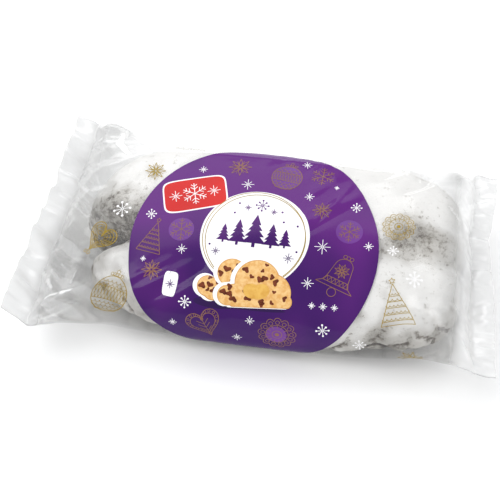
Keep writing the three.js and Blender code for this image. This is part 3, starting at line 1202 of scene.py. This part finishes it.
# What each ink draws

def draw_rows(bm, rows, layer):
    for drawing, along, round_, size, turn in rows:
        stamp(bm, drawn(drawing, size), (along, round_), turn, layer)


def draw_slice(bm, lobes, base, layer):
    stamp(bm, field(lobed(lobes, base), SLICE_STEP), lobes[0][:2], 0, layer)


def draw_purple(bm):
    """The disc, and the stars, firs and dots on the white panel."""
    stamp(bm, field(disc_outline), DISC)
    draw_rows(bm, PANEL_STARS, ON_PANEL)
    draw_rows(bm, PANEL_FIRS, ON_PANEL)
    marks = bmesh.new()
    for centre in PANEL_DOTS:
        dot(marks, centre, PANEL_DOT_RADIUS)
    stamp(bm, marks, (0, 0), 0, ON_PANEL)


def draw_lilac(bm):
    """Paler discs behind some of the ornaments."""
    for along, round_, radius in LILAC_DISCS:
        stamp(bm, field(disc_of(radius)), (along, round_), 0, ON_DISC)


def draw_shadows(bm):
    """The shadows of the cake slices."""
    for along, round_, wide, high in SLICE_SHADOWS:
        stamp(bm, field(oval(wide, high), SLICE_STEP), (along, round_), 0, ON_DISC)


def draw_white(bm):
    """The panel, the label's rim and stars, the note, the stars, and the sugar round the slices."""
    stamp(bm, field(panel_outline), PANEL, 0, ON_DISC)
    wide, high = LABEL_SIZE
    stamp(bm, field(tile(wide + LABEL_RIM, high + LABEL_RIM)), LABEL, LABEL_TURN, ON_DISC)
    stamp(bm, drawn(snow_crystal, LABEL_CRYSTAL), LABEL, LABEL_TURN, ON_PANEL)
    for side in (-1, 1):
        beside = Vector(LABEL) + Vector(LABEL_STAR_AT) * side
        stamp(bm, drawn(needle_star, LABEL_STAR), beside, LABEL_TURN, ON_PANEL)
    stamp(bm, field(tile(*NOTE_SIZE)), NOTE, NOTE_TURN, ON_DISC)
    draw_rows(bm, WHITE_STARS, ON_DISC)
    for layer, lobes in SLICES:
        rim = [(x + SUGAR_SHIFT[0], y + SUGAR_SHIFT[1], r + SUGAR_RIM) for x, y, r in lobes]
        draw_slice(bm, rim, SLICE_BASE - SUGAR_DROP, layer)


def draw_gold(bm):
    """The ornaments on the clear film, and the panel's rings."""
    draw_rows(bm, GOLD_ON_FILM, ON_FILM)
    for layer, offset, radius in PANEL_RINGS:
        ring = bmesh.new()
        arc(ring, offset, radius)
        stamp(bm, ring, PANEL, 0, layer)


def draw_gold_over_purple(bm):
    draw_rows(bm, GOLD_ON_PURPLE, ON_LILAC)


def draw_red(bm):
    stamp(bm, field(tile(*LABEL_SIZE)), LABEL, LABEL_TURN, ON_LILAC)


def draw_crust(bm):
    for layer, lobes in SLICES:
        draw_slice(bm, lobes, SLICE_BASE, layer + 1)


def draw_crumb(bm):
    for layer, lobes in SLICES:
        draw_slice(bm, [(x, y, r - CRUST) for x, y, r in lobes], SLICE_BASE + CRUST, layer + 2)


def draw_marzipan(bm):
    stamp(bm, field(marzipan_outline, SLICE_STEP), MARZIPAN, MARZIPAN_TURN, MARZIPAN_LAYER)


def draw_raisins(bm):
    """Raisins over the lobes of each slice, spread out in a spiral."""
    draw = random.Random(RAISIN_SEED)
    for layer, lobes in SLICES:
        for x, y, r in lobes[:RAISIN_LOBES]:
            count = round(RAISIN_SHARE * r)
            for k in range(count):
                angle = GOLDEN_TURN * k + draw.uniform(0, 1)
                away = RAISIN_REACH * r * math.sqrt((k + RAISIN_FIRST) / count)
                height = max(y + away * math.sin(angle), SLICE_BASE + RAISIN_RISE)
                shape = raisin(draw.uniform(*RAISIN_SIZES), draw.uniform(*RAISIN_STRETCHES))
                turn = math.degrees(draw.uniform(0, math.tau))
                place = (x + away * math.cos(angle), height)
                stamp(bm, field(shape, RAISIN_STEP), place, turn, layer + 3)


# Each print's piece, drawing and slot, and its ink: name, colour, colour where it lies thin, size of clouds
PRINTS = [
    ("purple_print", draw_purple, "purple_ink",
     ("purple_gravure_ink", "#5d1d78", "#380a5c", 70, PURPLE_PAINTED_SHEEN, PURPLE_STOPS)),
    ("lilac_print", draw_lilac, "purple_ink", ("lilac_gravure_ink", "#733f93", "#663585")),
    ("shadow_print", draw_shadows, "purple_ink", ("shadow_gravure_ink", "#2c0e4c", "#260b42")),
    ("white_print", draw_white, "white_ink", ("white_gravure_ink", "#fbfafb", "#f1f0f2")),
    ("gold_print", draw_gold, "gold_ink", ("gold_gravure_ink", "#a88c2c", "#927a20")),
    ("gold_over_purple_print", draw_gold_over_purple, "gold_ink",
     ("gold_ink_over_purple", "#8f6550", "#7c564a")),
    ("red_print", draw_red, "red_ink", ("red_gravure_ink", "#cc1e1a", "#c01916")),
    ("crust_print", draw_crust, "cake_ink", ("crust_gravure_ink", "#d8a664", "#c48b4a", 6)),
    ("crumb_print", draw_crumb, "cake_ink", ("crumb_gravure_ink", "#ebc285", "#daa560", 2.4)),
    ("marzipan_print", draw_marzipan, "cake_ink", ("marzipan_gravure_ink", "#e2b45c", "#d29e48", 4)),
    ("raisin_print", draw_raisins, "cake_ink", ("raisin_gravure_ink", "#783a20", "#5a2713", 3)),
]


# Camera, floor and light

CAMERA_PLACE = Vector((82.7, -525.8, 566.0)) * MM
CAMERA_AIM = Vector((0, 0, 38)) * MM
CAMERA_LENS = 82.24
CAMERA_SHIFT = (-0.0328, -0.0202)
CAMERA_SENSOR = 36.0
FLOOR_HALF = 4.0
SKY_STRENGTH = 0.8

# Soft boxes in metres and watts: their place, the height that they aim at, and their width and height
SOFT_BOXES = [
    ("key", (-0.35, 0.55, 1.25), 0.03, (1.1, 0.9), 5.5),
    ("rim", (-0.3, 1.3, 0.4), 0.05, (1.4, 0.5), 4),
    ("left", (-0.6, -0.4, 1.2), 0.05, (0.6, 0.5), 3.5),
    ("right", (0.95, -0.6, 0.8), 0.05, (0.6, 0.7), 4.5),
]


def aimed(name, data, place, aim):
    """Puts a camera or a light in the scene, looking at a point."""
    made = bpy.data.objects.new(name, data)
    made.location = place
    made.rotation_euler = (Vector(aim) - Vector(place)).to_track_quat("-Z", "Y").to_euler()
    bpy.context.scene.collection.objects.link(made)
    return made


def add_camera():
    data = bpy.data.cameras.new("camera")
    data.lens = CAMERA_LENS
    data.shift_x, data.shift_y = CAMERA_SHIFT
    data.sensor_width = CAMERA_SENSOR
    bpy.context.scene.camera = aimed("camera", data, CAMERA_PLACE, CAMERA_AIM)


# Studio paper: white, matt and plain
def add_floor():
    bm = bmesh.new()
    bmesh.ops.create_grid(bm, x_segments=4, y_segments=4, size=FLOOR_HALF)
    floor = to_object("floor", bm)
    material, tree = new_material("white_studio_paper")
    paper = add(tree, "ShaderNodeBsdfPrincipled", {"Base Color": rgb("#fcfcfc"), "Roughness": 0.9})
    add(tree, "ShaderNodeOutputMaterial", {"Surface": paper.outputs[0]})
    floor.data.materials.append(material)


def add_light():
    world = bpy.data.worlds.new("studio")
    bpy.context.scene.world = world
    world.use_nodes = True
    sky = world.node_tree.nodes["Background"]
    sky.inputs["Color"].default_value = rgb("#f6f7f8")
    sky.inputs["Strength"].default_value = SKY_STRENGTH
    for name, place, height, size, watts in SOFT_BOXES:
        data = bpy.data.lights.new(name, "AREA")
        data.shape = "RECTANGLE"
        data.size, data.size_y = size
        data.energy = watts
        aimed(name, data, place, (0, 0, height))
    bpy.context.scene.view_settings.view_transform = "Standard"


# The film and what stands for the bag

def film_grid():
    """The film's final points, the lengths along it of their rows, and its haze at them, which carries
    painted shade, painted light and painted highlights.
    """
    along, stations, points = posed_film()
    core = loaf_object("loaf_core", CORE_FINENESS, False, faces_of(points))
    points = settle_film(along, stations, points, core)
    bpy.data.objects.remove(core)
    points = finer(points)
    along = np.linspace(along[0], along[-1], points.shape[0])
    places, lengths = film_lengths()
    stations = np.interp(along, lengths, places)
    side = np.where(stations < 0, 0, 1)
    loose = past(np.abs(stations), np.take(LOOSE_FROM, side), np.take(LOOSE_OVER, side))
    # Painted shade and light: the left end's loose haze is lower and greyer, the right end's higher and
    # whiter
    haze = mix(TAUT_HAZE, np.take(LOOSE_HAZE_AND_SHADE, side), loose)
    sealed = smooth((np.abs(stations) - SEAL_START + SEAL_HAZE_LEAD) / SEAL_HAZE_OVER)
    haze_and_painted_light = mix(haze, SEAL_HAZE, sealed)[:, None]
    return along, points, np.maximum(haze_and_painted_light, crease_film(along, stations, points))


def film_piece(points, haze_and_painted_light):
    piece = tube_object("film", points * MM)
    values = haze_and_painted_light[tuple(grid_cells(piece.data))]
    piece.data.attributes.new("haze_and_painted_light", "FLOAT", "POINT").data.foreach_set("value", values)
    return piece


add_camera()
add_floor()
add_light()

film_along, film_points, film_haze_and_painted_light = film_grid()
dress(film_piece(film_points, film_haze_and_painted_light), clear_film())
loaf = loaf_object("stollen_loaf", LOAF_FINENESS, True, faces_of(film_points))
dress(loaf, powdered_sugar())
surface = Film(film_along, film_points)
for name, drawing, slot, finish in PRINTS:
    flat_print = bmesh.new()
    drawing(flat_print)
    print_on_film(name, flat_print, surface, ink(*finish))
